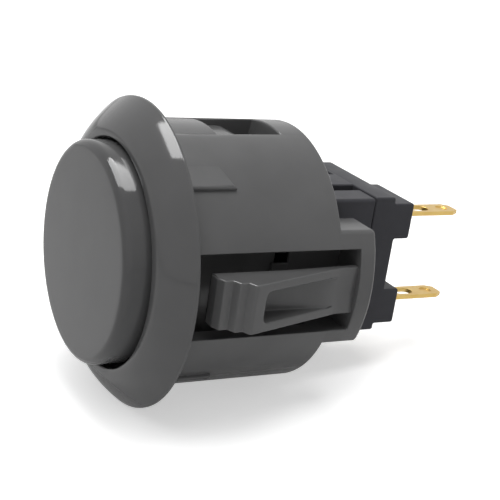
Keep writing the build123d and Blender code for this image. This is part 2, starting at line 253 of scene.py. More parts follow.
def carried(rings):
    # Matching closed outlines in Y and Z, each at its own X, joined in order, with a flat cap at each end
    count = len(rings[0][0])
    points = np.vstack([np.column_stack([np.full(count, x), outline]) for outline, x in rings])
    sides = gridQuads(len(rings), count, wrapColumns=True).reshape(-1, 4).tolist()
    caps = np.arange(len(points)).reshape(-1, count)[[0, -1]].tolist()
    return points, sides + caps


def extruded(outline, low, high):
    # One outline carried straight from one X to another
    return carried([(outline, low), (outline, high)])


def block(low, high):
    # A plain block between two corners
    (x0, y0, z0), (x1, y1, z1) = low, high
    return extruded(np.array([(y0, z0), (y1, z0), (y1, z1), (y0, z1)], float), x0, x1)


def roundTable(radii, heights, angles):
    # Point = (radius cos angle, height, radius sin angle) for each angle and each row
    return np.stack([radii * np.cos(angles), heights * np.ones_like(angles), radii * np.sin(angles)], axis=-1)


def allRound(quarter):
    # A quarter turn's angles, mirrored into the whole turn
    return np.concatenate([quarter, np.pi - quarter[-2::-1],
                           np.pi + quarter[1:], 2 * np.pi - quarter[-2:0:-1]])


def roundedPath(corners, radii, steps=6):
    # Each inner corner of an open path becomes an arc that turns evenly from one side to the other
    corners = np.asarray(corners, float)
    radii = np.asarray(radii, float)[:, None]
    toBefore = corners[:-2] - corners[1:-1]
    toAfter = corners[2:] - corners[1:-1]
    toBefore /= np.linalg.norm(toBefore, axis=1, keepdims=True)
    toAfter /= np.linalg.norm(toAfter, axis=1, keepdims=True)
    opening = np.arccos((toBefore * toAfter).sum(axis=1, keepdims=True))
    middle = toBefore + toAfter
    middle /= np.linalg.norm(middle, axis=1, keepdims=True)
    centre = corners[1:-1] + middle * radii / np.sin(opening / 2)
    reach = radii / np.tan(opening / 2)
    first = corners[1:-1] + toBefore * reach - centre
    last = corners[1:-1] + toAfter * reach - centre
    sweep = (np.pi - opening)[..., None]
    share = np.linspace(0, 1, steps)[None, :, None]
    arcs = np.sin((1 - share) * sweep) * first[:, None] + np.sin(share * sweep) * last[:, None]
    arcs = centre[:, None] + arcs / np.sin(sweep)
    return np.vstack([corners[:1], arcs.reshape(-1, 2), corners[-1:]])


def makePiece(name, forms, look, body, material, replaced=None, roundShare=None):
    # The forms are joined in one mesh, turned face outward, and its sharp edges get a round
    points = np.vstack([form[0] for form in forms]) * mm
    starts = np.cumsum([0] + [len(form[0]) for form in forms])
    faces = [[corner + start for corner in face] for form, start in zip(forms, starts) for face in form[1]]
    mesh = bpy.data.meshes.new(name)
    mesh.from_pydata(points.tolist(), [], faces)
    shell = bmesh.new()
    shell.from_mesh(mesh)
    bmesh.ops.remove_doubles(shell, verts=shell.verts, dist=mergeReach)
    bmesh.ops.delete(shell, geom=[vert for vert in shell.verts if not vert.link_faces], context="VERTS")
    bmesh.ops.recalc_face_normals(shell, faces=shell.faces)
    shell.to_mesh(mesh)
    shell.free()
    return finishPiece(name, mesh, look, body, material, replaced, roundShare)


def finishPiece(name, mesh, look, body, material, replaced, roundShare=None):
    # Each sharp edge gets a weight for the Bevel, which roundShare sets from the edge's middle in millimetres
    mesh.shade_smooth()
    mesh.set_sharp_from_angle(angle=sharpAngle)
    ends = np.empty(2 * len(mesh.edges), np.int32)
    mesh.edges.foreach_get("vertices", ends)
    ends = ends.reshape(-1, 2)
    places = np.empty(3 * len(mesh.vertices), np.float32)
    mesh.vertices.foreach_get("co", places)
    places = places.reshape(-1, 3)
    sharp = np.zeros(len(mesh.edges), bool)
    mesh.attributes["sharp_edge"].data.foreach_get("value", sharp)
    weight = sharp.astype(np.float32)
    if roundShare is not None:
        weight *= roundShare(places[ends].mean(axis=1) / mm).astype(np.float32)
    mesh.attributes.new("bevel_weight_edge", "FLOAT", "EDGE").data.foreach_set("value", weight)
    mesh.materials.clear()
    mesh.materials.append(material)
    piece = bpy.data.objects.new(name, mesh)
    bpy.context.scene.collection.objects.link(piece)
    bevel = piece.modifiers.new("edgeRound", "BEVEL")
    bevel.width = look["round"] * mm
    bevel.segments = look["steps"]
    bevel.limit_method = "WEIGHT"
    bevel.use_clamp_overlap = False
    bevel.loop_slide = False    # even widths, also beside narrow faces
    bevel.harden_normals = True
    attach(piece, body)
    if replaced:
        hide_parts(replaced)
    return piece


# Bezel: a domed ring with a rounded lip

bezelLook = {
    "bore": 12.25,
    "rim": 16.65,
    "rimEdge": 0.3,
    "height": 3.19,
    "shoulder": 2.4,
    "lip": 0.25,
    "domeRows": 28,
    "lipRows": 10,
    "around": 240,
    "round": 0.07,
    "steps": 3,
}


def turnBezel(look):
    # The section is a curve with one control point from rim to lip, a quarter arc for the lip,
    # then bore and underside; it is turned about Y
    t = np.linspace(0, 1, look["domeRows"])[:, None]
    rim = np.array([look["rim"], -look["rimEdge"]])
    control = np.array([look["rim"] - look["shoulder"], -look["height"]])
    top = np.array([look["bore"] + look["lip"], -look["height"]])
    dome = (1 - t) ** 2 * rim + 2 * t * (1 - t) * control + t ** 2 * top
    bend = np.radians(np.linspace(-90, -180, look["lipRows"])[1:, None])
    lip = top + look["lip"] * np.hstack([np.cos(bend), 1 + np.sin(bend)])
    section = np.vstack([dome, lip, [(look["bore"], 0), (look["rim"], 0)]])
    angles = np.linspace(0, 2 * np.pi, look["around"], endpoint=False)[:, None]
    points = roundTable(section[:, 0], section[:, 1], angles)
    quads = gridQuads(*points.shape[:2], wrapRows=True, wrapColumns=True)
    return points.reshape(-1, 3), quads.reshape(-1, 4).tolist()


makePiece("bezelRing", [turnBezel(bezelLook)], bezelLook, "housing",
          mouldedPlastic("glossyBezel", bezelMoulding), "housing")
print("bezel made")


# Barrel: a tube with two hook windows and two latch slots, closed at the rear by the bulkhead

barrelLook = {
    "radius": 14.4,
    "bore": bezelLook["bore"],
    "front": -0.3,              # buried in the bezel
    "frontRelief": 0.15,        # the bore of that end is wider by this
    "length": 17.7,
    "slotWidth": 9.12,
    "slotFront": 0.9,
    "slotRear": 20.04,
    "slotFloor": 9.8,
    "earWidth": 12.8,
    "earInner": 8.6,
    "earRear": 22.0,
    "earFoot": (0.4, 0.2),      # the ear leaves the barrel between these depths
    "earSunk": 0.05,
    "floorOverlap": 0.2,        # the slot's floor runs this far into the ear
    "floorParts": (             # front end, thickness and half width of thin lip, tongue and full wall
        (13.7, 0.45, 4.76),
        (11.8, 0.43, 1.9),
        (14.9, 1.2, 4.74),
    ),
    "windowWidth": 6.2,
    "windowFront": 6.9,
    "windowRear": (14.45, 14.1),  # outside and inside, so the rear end leans a little
    "trackWidth": 6.4,
    "trackDepth": 0.1,
    "trackSlope": 0.35,
    "columns": (9, 4, 22, 1, 1, 5),
    "plate": 1.5,
    "plateRim": 13.0,
    "plateColumns": (8, 1, 8, 12),
    "plateJump": 0.002,         # angle in which the plate's rim steps from slot to barrel
    "sunk": 0.02,               # a form that runs into another lies this much below its surface
    "hair": 0.01,               # room for rounding where places are compared
    "opening": (7.15, 8.0),     # half width and half height
    "openingGap": 0.15,         # from the opening to the switch case
    "tooth": (3.0, 0.65),       # half width and depth
    "round": 0.26,
    "edgeShare": 0.62,
    "edgeReach": 0.1,           # an edge this near to a border lies on it
    "steps": 3,
}


def barrelAngles(look, radius):
    # Column angles that fall on the edges of slot, ear, track and window at this radius
    slot = np.arcsin(look["slotWidth"] / 2 / radius)
    ear = np.arcsin(look["earWidth"] / 2 / radius)
    foot = np.arccos((look["trackWidth"] / 2 + look["trackSlope"]) / radius)
    track = np.arccos(look["trackWidth"] / 2 / radius)
    window = np.arccos(look["windowWidth"] / 2 / radius)
    marks = np.cumsum((0,) + look["columns"])
    return np.interp(np.arange(marks[-1] + 1), marks, [0, slot, ear, foot, track, window, np.pi / 2])


def barrelTube(look):
    # Outer and inner cylinders share one grid; cells inside a window or a slot are left out
    outerAngles = allRound(barrelAngles(look, look["radius"]))[:, None]
    innerAngles = allRound(barrelAngles(look, look["bore"]))[:, None]
    windowOutside, windowInside = look["windowRear"]
    rows = np.array([look["front"], look["slotFront"], look["windowFront"], windowOutside, look["length"]])
    innerRows = np.where(rows == windowOutside, windowInside, rows)
    besideTrack = np.abs(np.cos(outerAngles)) * look["radius"] >= look["trackWidth"] / 2 + look["hair"]
    inTrack = ~besideTrack & (rows <= look["windowFront"])
    outer = roundTable(look["radius"] - look["trackDepth"] * inTrack, rows, outerAngles)
    inner = roundTable(look["bore"] + look["frontRelief"] * (rows < 0), innerRows, innerAngles)
    middle = (outer[:, 1:] + outer[:, :-1]) / 2
    middle = (middle + np.roll(middle, -1, axis=0)) / 2
    inSlot = (np.abs(middle[..., 2]) < look["slotWidth"] / 2) & (middle[..., 1] > look["slotFront"])
    inWindow = (np.abs(middle[..., 0]) < look["windowWidth"] / 2) & (middle[..., 1] > look["windowFront"])
    inWindow &= middle[..., 1] < windowOutside
    return shellBetween(outer, inner, ~(inSlot | inWindow), wrapRows=True)


def bulkheadPlate(look):
    # A flat ring from the switch's rectangular opening out to the barrel,
    # or to the slot's floor beside a latch
    halfWide, halfHigh = look["opening"]
    slotCorner = np.arctan2(look["slotWidth"] / 2, look["slotFloor"])
    cornerAngle = np.arctan2(halfHigh, halfWide)
    marks = np.cumsum((0,) + look["plateColumns"])
    stops = [0, slotCorner, slotCorner + look["plateJump"], cornerAngle, np.pi / 2]
    angles = allRound(np.interp(np.arange(marks[-1] + 1), marks, stops))
    across, up = np.abs(np.cos(angles)), np.abs(np.sin(angles))
    beside = up <= across * np.tan(slotCorner + look["plateJump"] / 2)
    rim = np.where(beside, (look["slotFloor"] - 2 * look["sunk"]) / across.clip(nearZero), look["plateRim"])
    hole = np.minimum(halfWide / across.clip(nearZero), halfHigh / up.clip(nearZero))
    radii = np.stack([hole, rim], axis=-1)
    rear = roundTable(radii, look["length"] - look["sunk"], angles[:, None] * np.ones(2))
    front = rear - np.array([0, look["plate"], 0])
    return shellBetween(rear, front, np.ones((len(angles), 1), bool), wrapRows=True)


def earFrame(look, side):
    # A segment of the barrel's cylinder behind the bulkhead, flat inside, with the slot's end cut into it
    slotColumns, barColumns = look["columns"][:2]
    half = barrelAngles(look, look["radius"])[: slotColumns + barColumns + 1]
    angles = np.concatenate([-half[:0:-1], half])[:, None]
    deep, shallow = look["earFoot"]
    rows = np.array([look["length"] - look["plate"], look["length"] - deep, look["length"] - shallow,
                     look["slotRear"], look["earRear"]])
    sunk = look["earSunk"] * (rows <= look["length"] - deep)
    outer = roundTable(look["radius"] - sunk, rows, angles)
    inner = outer.copy()
    inner[..., 0] = look["earInner"]
    keep = np.ones((len(angles) - 1, len(rows) - 1), bool)
    keep[barColumns:-barColumns, :-1] = False
    points, faces = shellBetween(outer, inner, keep)
    return points * np.array([side, 1, 1]), faces


def slotFloor(look, side, front, thickness, half, sunk):
    # A block under the slot, from its own front end to just inside the ear
    low = (side * (look["slotFloor"] - thickness), front, sunk - half)
    high = (side * (look["slotFloor"] - sunk), look["slotRear"] + look["floorOverlap"] - sunk, half - sunk)
    return block(low, high)


def bulkheadTooth(look, side):
    # A block at the opening's edge that reaches into the switch case's side
    halfWide, depth = look["tooth"]
    tip = look["opening"][1] - look["openingGap"] - depth
    low = (-halfWide, look["length"] - look["plate"] + look["sunk"], side * tip)
    high = (halfWide, look["length"] - 2 * look["sunk"], side * (tip + 2 * depth))
    return block(low, high)


barrelForms = [barrelTube(barrelLook), bulkheadPlate(barrelLook)]
for layer, floorPart in enumerate(barrelLook["floorParts"]):
    layerSunk = layer * barrelLook["sunk"]
    barrelForms += [slotFloor(barrelLook, side, *floorPart, layerSunk) for side in (1, -1)]
barrelForms += [bulkheadTooth(barrelLook, side) for side in (1, -1)]


def barrelRounds(middles):
    # The rear rim is rounder than the other edges, and the bore's rear edge, which meets the bulkhead,
    # stays square
    atRear = middles[:, 1] > barrelLook["length"] - barrelLook["edgeReach"]
    inside = np.hypot(middles[:, 0], middles[:, 2]) < barrelLook["plateRim"]
    return np.where(atRear, np.where(inside, 0.0, 1.0), barrelLook["edgeShare"])


makePiece("barrelWall", barrelForms, barrelLook, "housing",
          finishes["housing_plastic"], roundShare=barrelRounds)

earLook = dict(barrelLook, round=0.42, steps=4, slotShare=0.38)


def earRounds(middles):
    # The ear's outer corners are rounder than the edges of its slot
    atSide = np.abs(middles[:, 2]) > earLook["earWidth"] / 2 - earLook["edgeReach"]
    atRear = middles[:, 1] > earLook["earRear"] - earLook["edgeReach"]
    return np.where(atSide | atRear, 1.0, earLook["slotShare"])


makePiece("earFrames", [earFrame(earLook, side) for side in (1, -1)], earLook, "housing",
          finishes["housing_plastic"], roundShare=earRounds)
print("barrel and ears made")


# Snap latches: a stepped nose, a sloping back with a pocket between two ribs, and a thin root

latchLook = {
    "width": 5.26,
    "inner": 13.5,
    "front": 2.65,
    "nose": 14.92,
    "stepCount": 3,
    "rise": 0.9,
    "slant": 0.45,
    "tread": 0.9,
    "tilt": -0.08,
    "stepRound": 0.24,
    "valleyRound": 0.12,
    "crestRound": 0.4,
    "rootX": 13.75,
    "rootFront": 18.14,
    "rootRear": 20.69,
    "rootInner": 12.9,
    "bend": 11.35,              # where the inner face starts to lean in
    "slotEnd": barrelLook["slotRear"],
    "slopeStart": 1.2,          # behind the pocket's front
    "slopeRows": 12,
    "pocketFront": 7.4,
    "pocketHalf": 1.65,
    "pocketFloor": 14.05,
    "pocketRound": 0.55,
    "pocketRows": 8,
    "draft": 0.05,
    "round": 0.16,
    "steps": 3,
}


def snapLatch(look, side):
    # The side view runs over the steps to the crest and down to the root; it is carried across the width,
    # and between the ribs the surface drops to the pocket's floor
    x, y = look["nose"], look["front"]
    steps = [(look["inner"], y), (x, y)]
    for step in range(1, look["stepCount"] + 1):
        x, y = x + look["rise"], y + look["slant"]
        steps.append((x, y))
        if step < look["stepCount"]:
            x, y = x + look["tilt"], y + look["tread"]
            steps.append((x, y))
    root = (look["rootX"], look["rootFront"])
    crest, valley = look["stepRound"], look["valleyRound"]
    rounds = [crest] + [crest, valley] * (look["stepCount"] - 1) + [look["crestRound"]]
    nose = roundedPath(steps + [root], rounds)[:-1]
    bend = look["pocketRound"] * (1 - np.cos(np.radians(np.linspace(0, 90, look["pocketRows"]))))
    slopeFront = look["pocketFront"] + look["slopeStart"]
    slopeY = np.concatenate([[look["pocketFront"] - look["draft"]], look["pocketFront"] + bend,
                             np.linspace(slopeFront, root[1], look["slopeRows"])])
    slopeX = np.interp(slopeY, [nose[-1, 1], root[1]], [nose[-1, 0], root[0]])
    sideView = np.vstack([nose, np.column_stack([slopeX, slopeY]), [(look["rootX"], look["rootRear"])]])
    x, y = sideView[:, :1], sideView[:, 1:]
    into = (y - look["pocketFront"]).clip(0, look["pocketRound"]) / look["pocketRound"]
    half = look["pocketHalf"] - look["pocketRound"] * (1 - np.sqrt(1 - (1 - into) ** 2))
    edge = half + look["draft"] * np.array([1, -1])
    wide = np.full_like(x, look["width"] / 2)
    z = np.hstack([-wide, -edge, 0 * x, edge[:, ::-1], wide])
    columns = z.shape[1]
    inPocket = (y >= look["pocketFront"]) & (np.abs(np.arange(columns) - columns // 2) < 2)
    depth = np.where(inPocket, np.minimum(x, look["pocketFloor"]), x)
    lean = np.interp(y, [look["bend"], look["slotEnd"]], [look["inner"], look["rootInner"]])
    outer = np.stack([side * depth, y + 0 * z, z], axis=-1)
    inner = np.stack([side * lean + 0 * z, y + 0 * z, z], axis=-1)
    return shellBetween(outer, inner, np.ones((len(x) - 1, columns - 1), bool))


makePiece("snapLatches", [snapLatch(latchLook, side) for side in (1, -1)], latchLook, "housing",
          finishes["housing_plastic"])
print("latches made")


# Locating pads: wedges beside the latches that run out into the barrel

padLook = {
    "angle": 50.75,
    "arc": 12.5,
    "barrel": barrelLook["radius"],
    "height": 0.55,
    "sunk": 0.02,               # the thin end lies this much below the barrel's surface
    "foot": 0.5,                # and the underside this much
    "front": -0.1,              # buried in the bezel
    "rear": (6.0, 4.7),         # beside the latch and at the thin end
    "rows": 9,
    "round": 0.34,
    "steps": 3,
}


def locatingPad(look, across, up):
    # A straight line from the thick end's top to the barrel's surface, carried along Y to a slanted rear end
    share = np.linspace(0, 1, look["rows"])[:, None]
    ends = np.radians(look["angle"] + look["arc"] * np.array([-0.5, 0.5]))
    way = np.column_stack([np.cos(ends), np.sin(ends)])
    thick, thin = way * (look["barrel"] + np.array([[look["height"]], [-look["sunk"]]]))
    top = thick + share * (thin - thick)
    foot = top * (look["barrel"] - look["foot"]) / np.linalg.norm(top, axis=1, keepdims=True)
    rear = look["rear"][0] + share * (look["rear"][1] - look["rear"][0])
    rows = np.hstack([0 * share + look["front"], rear / 2, rear])
    outer = np.stack([across * top[:, :1] + 0 * rows, rows, up * top[:, 1:] + 0 * rows], axis=-1)
    inner = np.stack([across * foot[:, :1] + 0 * rows, rows, up * foot[:, 1:] + 0 * rows], axis=-1)
    return shellBetween(outer, inner, np.ones((len(share) - 1, rows.shape[1] - 1), bool))


def padRounds(middles):
    # The round shrinks with the pad's height over the barrel
    height = np.hypot(middles[:, 0], middles[:, 2]) - padLook["barrel"]
    return (height / padLook["height"]).clip(0, 1)


padSides = ((1, 1), (-1, 1), (-1, -1), (1, -1))
makePiece("locatingPads", [locatingPad(padLook, *sides) for sides in padSides], padLook, "housing",
          finishes["housing_plastic"], roundShare=padRounds)
print("pads made")


# Plunger: a round cap on a skirt with two flats, two hooks and a ribbed stem

plungerLook = {
    "radius": 11.85,
    "face": -5.75,
    "play": 0.15,               # the plunger stands this much high in its bore
    "capRound": 0.9,
    "roundRows": 12,
    "faceMargin": 0.6,          # the flat face's outermost ring
    "thickness": 1.6,
    "wall": 1.4,
    "flat": 9.2,
    "flatStart": 1.0,
    "noFlat": 1e3,              # a flat this far out cuts nothing
    "skirtOverlap": 0.5,        # the skirt starts this far inside the cap
    "skirtSunk": 0.02,
    "skirtEnd": 12.4,
    "mouth": (0.25, 0.5),       # the skirt's rear opens by this much, over this length
    "columns": (30, 3, 36),
    "stem": (1.9, 0.65, 3.3, 11.55),   # core radius, half a rib, half the span, rear end
    "stemOverlap": 0.3,
    "stemSides": 32,
    "round": 0.12,
    "steps": 3,
}


def plungerForm(look, rows, closed=False):
    # Radius = the smaller of the row's own and the flat's distance over the cosine of the angle
    radii, heights, flats = np.array(rows).T
    outside = np.arccos(look["flat"] / look["radius"])
    inside = np.arccos((look["flat"] - look["wall"]) / (look["radius"] - look["wall"]))
    marks = np.cumsum((0,) + look["columns"])
    quarter = np.interp(np.arange(marks[-1] + 1), marks, [0, outside, inside, np.pi / 2])
    angles = allRound(quarter)[:, None]
    radii = np.minimum(radii, flats / np.abs(np.cos(angles)).clip(nearZero))
    points = roundTable(radii, heights, angles) + np.array([0, 0, look["play"]])
    quads = gridQuads(*points.shape[:2], wrapRows=True, wrapColumns=closed)
    return points.reshape(-1, 3), quads.reshape(-1, 4).tolist()


def plungerCup(look):
    # The cap's section: flat face, a quarter arc at its edge, the wall, and the hollow behind
    r, face, edge = look["radius"], look["face"], look["capRound"]
    hollow, behind = r - look["wall"], face + look["thickness"]
    bend = np.radians(np.linspace(-90, 0, look["roundRows"]))
    arc = np.column_stack([r + edge * (np.cos(bend) - 1), face + edge * (1 + np.sin(bend))])
    section = np.vstack([
        [(0, face), (r - edge - look["faceMargin"], face)],
        arc,
        [(r, look["flatStart"]), (hollow, look["flatStart"]), (hollow, behind), (0, behind)],
    ])
    return plungerForm(look, np.column_stack([section, np.full(len(section), look["noFlat"])]))


def plungerSkirt(look):
    # A ring with two flats that starts inside the cap's wall
    outer = look["radius"] - look["skirtSunk"]
    inner = look["radius"] - look["wall"] + look["skirtSunk"]
    front, rear = look["flatStart"] - look["skirtOverlap"], look["skirtEnd"]
    flat, innerFlat = look["flat"], look["flat"] - look["wall"]
    opening, run = look["mouth"]
    rows = [(outer, front, flat), (outer, rear, flat), (inner + opening, rear, innerFlat + opening),
            (inner, rear - run, innerFlat), (inner, front, innerFlat)]
    return plungerForm(look, rows, closed=True)


def plungerStem(look):
    # A round core, carried along Y, with two crossed ribs
    core, rib, span, rear = look["stem"]
    front = look["face"] + look["thickness"] - look["stemOverlap"]
    turn = np.linspace(0, 2 * np.pi, look["stemSides"], endpoint=False)
    circle = np.column_stack([core * np.cos(turn), core * np.sin(turn)])
    points, faces = extruded(circle, front, rear)
    return [
        (points[:, [1, 0, 2]], faces),
        block((-span, front, -rib), (span, rear, rib)),
        block((-rib, front, -span), (rib, rear, span)),
    ]


makePiece("plungerCap", [plungerCup(plungerLook)] + plungerStem(plungerLook), plungerLook, "plunger",
          finishes["plunger_plastic"], "plunger")

hookLook = {
    "front": 7.1,
    "land": 2.5,
    "rear": 11.6,
    "crest": 13.35,
    "foot": 10.9,
    "skirt": plungerLook["radius"],
    "half": 2.9,
    "bowRows": 12,
    "round": 0.16,
    "steps": 3,
}


def stopHook(look, side):
    # Seen from the side: a square front, a land, then a quarter of an ellipse down to the skirt
    turn = np.radians(np.linspace(90, 0, look["bowRows"]))[:, None]
    centre = np.array([look["front"] + look["land"], look["skirt"]])
    reach = np.array([look["rear"], look["crest"]]) - centre
    bow = centre + np.hstack([np.cos(turn), np.sin(turn)]) * reach
    outline = np.vstack([[(look["front"], look["foot"]), (look["front"], look["crest"])], bow,
                         [(look["rear"], look["foot"])]])
    return extruded(outline * np.array([1, side]), -look["half"], look["half"])


skirtForms = [plungerSkirt(plungerLook)] + [stopHook(hookLook, side) for side in (1, -1)]
# The skirt and its hooks take the housing's lighter grey instead of the cap's darker grey: a painted light
# that lifts them where they lie in the shade inside the slots and windows.
makePiece("plungerSkirt", skirtForms, hookLook, "plunger", finishes["housing_plastic"])
print("plunger and skirt made")


# Switch case: a tube with seats for two clip arms, closed in front by a wall with a round hole

caseLook = {
    "half": (7.0, 7.85),
    "front": 14.2,
    "rear": 25.66,
    "seatFront": 19.9,
    "seatFloor": 6.75,
    "strip": 3.6,               # the near strip beside the arms starts here
    "cavity": (5.9, 5.75),
    "frontWall": 1.2,
    "wallOverlap": 0.3,         # the front wall runs this far into the side walls
    "wallSunk": 0.02,
    "wallSides": 48,
    "hole": 2.25,
    "round": 0.4,
    "edgeShare": 0.35,
    "edgeReach": 0.05,          # an edge this near to a corner lies on it
    "steps": 4,
}


def closedRings(rings):
    # Matching closed outlines in X and Z, each at its own Y, joined in order and back to the first
    points = np.stack([np.column_stack([flat[:, 0], np.full(len(flat), y), flat[:, 1]]) for flat, y in rings])
    quads = gridQuads(*points.shape[:2], wrapRows=True, wrapColumns=True)
    return points.reshape(-1, 3), quads.reshape(-1, 4).tolist()


def caseTube(look):
    # Ten corners per ring: a rectangle whose far part, beyond the strip, drops to the seat
    # behind the seat's front
    wide, high = look["half"]
    strip, cavityWide, cavityHigh = look["strip"], *look["cavity"]

    def ring(top):
        upper = [(wide, 0), (wide, high), (strip, high), (strip, top), (-wide, top), (-wide, 0)]
        lower = [(x, -z) for x, z in upper[-2:0:-1]]
        return np.array(upper + lower)

    cavity = ring(look["seatFloor"]).clip((-cavityWide, -cavityHigh), (cavityWide, cavityHigh))
    full, seated = ring(high), ring(look["seatFloor"])
    return closedRings([(full, look["front"]), (full, look["seatFront"]), (seated, look["seatFront"]),
                        (seated, look["rear"]), (cavity, look["rear"]), (cavity, look["front"])])


def caseFrontWall(look):
    # A flat ring from the round hole to the case's side walls
    turn = np.linspace(0, 2 * np.pi, look["wallSides"], endpoint=False)
    way = np.column_stack([np.cos(turn), np.sin(turn)])
    reach = (np.array(look["cavity"]) + look["wallOverlap"]) / np.abs(way).clip(nearZero)
    edge = way * reach.min(axis=1, keepdims=True)
    hole = way * look["hole"]
    front, back = look["front"] + look["wallSunk"], look["front"] + look["frontWall"]
    return closedRings([(hole, front), (edge, front), (edge, back), (hole, back)])


def caseRounds(middles):
    # The long outer corners are rounder than the other edges
    fromAxis = np.abs(middles[:, [0, 2]])
    corner = (fromAxis > np.array(caseLook["half"]) - caseLook["edgeReach"]).all(axis=1)
    return np.where(corner, 1.0, caseLook["edgeShare"])


makePiece("switchCase", [caseTube(caseLook), caseFrontWall(caseLook)], caseLook, "housing",
          finishes["switch_plastic"], "switch_case", caseRounds)


# Switch base: end plate, two terminal blocks on a web, and the clip arms

baseLook = {
    "half": (7.0, 8.0),
    "plate": (25.74, 28.42),
    "blockEdge": -0.3,
    "blockOuter": 7.25,
    "blockInner": 3.05,
    "blockRear": 31.1,
    "webRear": 29.1,
    "arm": (-6.98, 2.0),        # from, to
    "armTop": 7.985,
    "armFront": 20.0,
    "armFloor": 6.85,
    "slot": (-3.6, -2.1, 5.5),  # cut from the arm's tip: from, to, length
    "armOverlap": 0.4,          # the arm's root runs this far into the plate
    "corners": (0.2, 0.3, 0.2, 0.3, 0.3, 0.2),  # rounds from the plate's front over the block to the web
    "cornerRows": 5,
    "round": 0.2,
    "steps": 3,
}


def plateAndBlocks(look):
    # The side view of plate, web and blocks as one outline with rounded corners, carried along X;
    # beyond the blocks the outline is cut off at the plate's rear
    front, rear = look["plate"]
    wide, high = look["half"]
    outer, inner, edge = look["blockOuter"], look["blockInner"], look["blockEdge"]
    upper = [(front, 0), (front, high), (rear, high), (rear, outer), (look["blockRear"], outer),
             (look["blockRear"], inner), (look["webRear"], inner), (look["webRear"], 0)]
    path = roundedPath(upper, look["corners"], look["cornerRows"])
    whole = np.vstack([path, path[-2:0:-1] * [1, -1]])
    plate = whole.clip(max=(rear, high))
    return carried([(plate, -wide), (plate, edge), (whole, edge), (whole, wide)])


def clipArm(look, side):
    # The arm from above: a strip with a slot that starts at its tip, carried along Z
    low, high = look["arm"]
    tip, rear = look["armFront"], look["plate"][0] + look["armOverlap"]
    start, end, length = look["slot"]
    slotEnd = tip + length
    outline = np.array([(low, rear), (low, tip), (start, tip), (start, slotEnd), (end, slotEnd), (end, tip),
                        (high, tip), (high, rear)])
    points, faces = extruded(outline, side * look["armFloor"], side * look["armTop"])
    return points[:, [1, 2, 0]], faces


baseForms = [plateAndBlocks(baseLook)] + [clipArm(baseLook, side) for side in (1, -1)]
makePiece("switchBase", baseForms, baseLook, "housing", finishes["switch_plastic"],
          "switch_base")
print("switch made")


# Return spring: a coil with closed end turns

springLook = {
    "radius": 1.88,
    "wire": 0.36,
    "ends": (16.70, 25.65),
    "seat": 25.70,              # the base's plate, which holds its rear end
    "stroke": 2.2,
    "endRise": 1.05,            # wires that each end turn climbs
    "turns": 6,
    "perTurn": 36,
    "sides": 16,
    "round": 0.04,
    "steps": 2,
}


def coiledWire(look):
    # Centre = (radius cos turn, height, radius sin turn), where the height climbs by about one wire
    # in each end turn and evenly between; the wire's circle lies in the plane of the radius and the axis
    half, count = look["wire"] / 2, look["turns"]
    low, high = look["ends"][0] + half, look["ends"][1] - half
    turns = np.linspace(0, count, count * look["perTurn"] + 1)[:, None]
    rise = look["endRise"] * look["wire"]
    heights = np.interp(turns, [0, 1, count - 1, count], [low, low + rise, high - rise, high])
    around = np.linspace(0, 2 * np.pi, look["sides"], endpoint=False)[None, :]
    radii = look["radius"] + half * np.cos(around)
    bend = 2 * np.pi * turns
    points = np.stack([radii * np.cos(bend), heights + half * np.sin(around), radii * np.sin(bend)], axis=-1)
    sides = gridQuads(*points.shape[:2], wrapColumns=True).reshape(-1, 4).tolist()
    caps = np.arange(points.size // 3).reshape(-1, look["sides"])[[0, -1]].tolist()
    return points.reshape(-1, 3), sides + caps


spring = makePiece("returnCoil", [coiledWire(springLook)], springLook, "housing",
                   finishes["spring_steel"], "return_spring")
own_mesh(spring)
print("return spring made")


# Terminals: each stands for its solid, with the small edge rounds that a press leaves

tabLook = {
    "pieces": {"upper_terminal": "upperTab", "lower_terminal": "lowerTab"},
    "merge": 1e-7,              # metres
    "flatTurn": 0.4,            # triangles that turn by fewer degrees are one face
    "round": 0.07,
    "steps": 2,
}


def roundedCopy(nodeName, pieceName, look):
    # The solid's triangles are merged and its flat regions joined before its edges are rounded
    mesh = frame["nodes"][nodeName].data.copy()
    shell = bmesh.new()
    shell.from_mesh(mesh)
    bmesh.ops.remove_doubles(shell, verts=shell.verts, dist=look["merge"])
    bmesh.ops.dissolve_limit(shell, angle_limit=math.radians(look["flatTurn"]), verts=shell.verts,
                             edges=shell.edges)
    shell.to_mesh(mesh)
    shell.free()
    if "custom_normal" in mesh.attributes:
        mesh.attributes.remove(mesh.attributes["custom_normal"])
    slot = slotOf[nodeName]
    return finishPiece(pieceName, mesh, look, "housing", finishes[slot], nodeName)


for nodeName, pieceName in tabLook["pieces"].items():
    roundedCopy(nodeName, pieceName, tabLook)
print("terminals made:", len(tabLook["pieces"]))


# Floor: the button lies on its rim and on the barrel's rear edge, so the floor is tilted in its frame

floorLook = {
    "rimContact": (0.0, 0.0, -bezelLook["rim"] * mm),
    "barrelContact": (0.0, barrelLook["length"] * mm, -barrelLook["radius"] * mm),
    "reach": 3.0,
    "rows": 9,
    "colour": (0.80, 0.80, 0.80),
    "roughness": 0.9,
    "sheen": 0.1,
    "fibresPerMetre": 2500.0,
    "fibreStrength": 0.1,
    "fibreDepth": 0.00001,
    "lift": 0.50,               # light that the paper itself shows to the camera near the button
    "fade": (0.15, 0.60),       # it grows to full white between these distances
    "mirrorLift": 0.10,         # and to surfaces that mirror it
}


